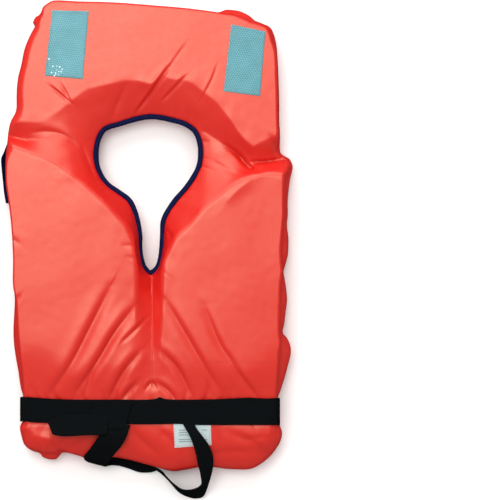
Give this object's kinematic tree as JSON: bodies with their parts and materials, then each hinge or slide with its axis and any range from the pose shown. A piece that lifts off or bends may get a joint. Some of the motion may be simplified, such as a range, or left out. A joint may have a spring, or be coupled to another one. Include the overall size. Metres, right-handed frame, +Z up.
{
  "type": "life jacket",
  "caption": "Orange foam life jacket worn over the head, with a keyhole neck opening, reflective tape on the collar and a tied black waist belt.",
  "frame": {"origin": "middle of the box round the jacket, on the ground it lies on", "axes": "+Z up, out of the jacket's front; +Y towards the collar; +X to the right as seen from above"},
  "size_m": [0.4135, 0.7101, 0.0718],
  "materials": {
    "shell_fabric": "coated nylon",
    "foam": "closed cell foam",
    "binding": "woven",
    "webbing": "woven webbing",
    "reflective": "retroreflective",
    "label": "matte",
    "ribbon": "woven",
    "whistle_plastic": "moulded"
  },
  "bodies": {
    "chest": {"chest_front_cover": "shell_fabric", "chest_back_cover": "shell_fabric", "chest_foam_left_1": "foam", "chest_foam_left_2": "foam", "chest_foam_left_3": "foam", "chest_foam_left_4": "foam", "chest_foam_right_1": "foam", "chest_foam_right_2": "foam", "chest_foam_right_3": "foam", "chest_foam_right_4": "foam", "neck_binding_lower": "binding", "waist_belt": "webbing", "belt_keeper_left": "webbing", "belt_keeper_right": "webbing", "belt_knot": "webbing", "belt_tail": "webbing", "care_label": "label"},
    "collar": {"collar_front_cover": "shell_fabric", "collar_back_cover": "shell_fabric", "collar_foam_1": "foam", "collar_foam_2": "foam", "collar_foam_3": "foam", "neck_binding_upper": "binding", "reflective_tape_left": "reflective", "reflective_tape_right": "reflective"},
    "whistle": {"whistle_ribbon": "ribbon", "whistle": "whistle_plastic"},
    "belt_end": {"belt_end": "webbing"}
  },
  "joints": [
    {"name": "collar_fold", "type": "hinge", "parent": "chest", "child": "collar", "pos_m": [0.0028, 0.131, 0.03], "axis": [0.9979, -0.0642, 0], "range_deg": [-78, 78]},
    {"name": "whistle_swing", "type": "hinge", "parent": "chest", "child": "whistle", "pos_m": [-0.2016, 0.138, 0.0365], "axis": [0, 1, 0], "range_deg": [0, 100]},
    {"name": "belt_end_lift", "type": "hinge", "parent": "chest", "child": "belt_end", "pos_m": [-0.078, -0.245, 0.0624], "axis": [0, 1, 0], "range_deg": [0, 55]}
  ]
}
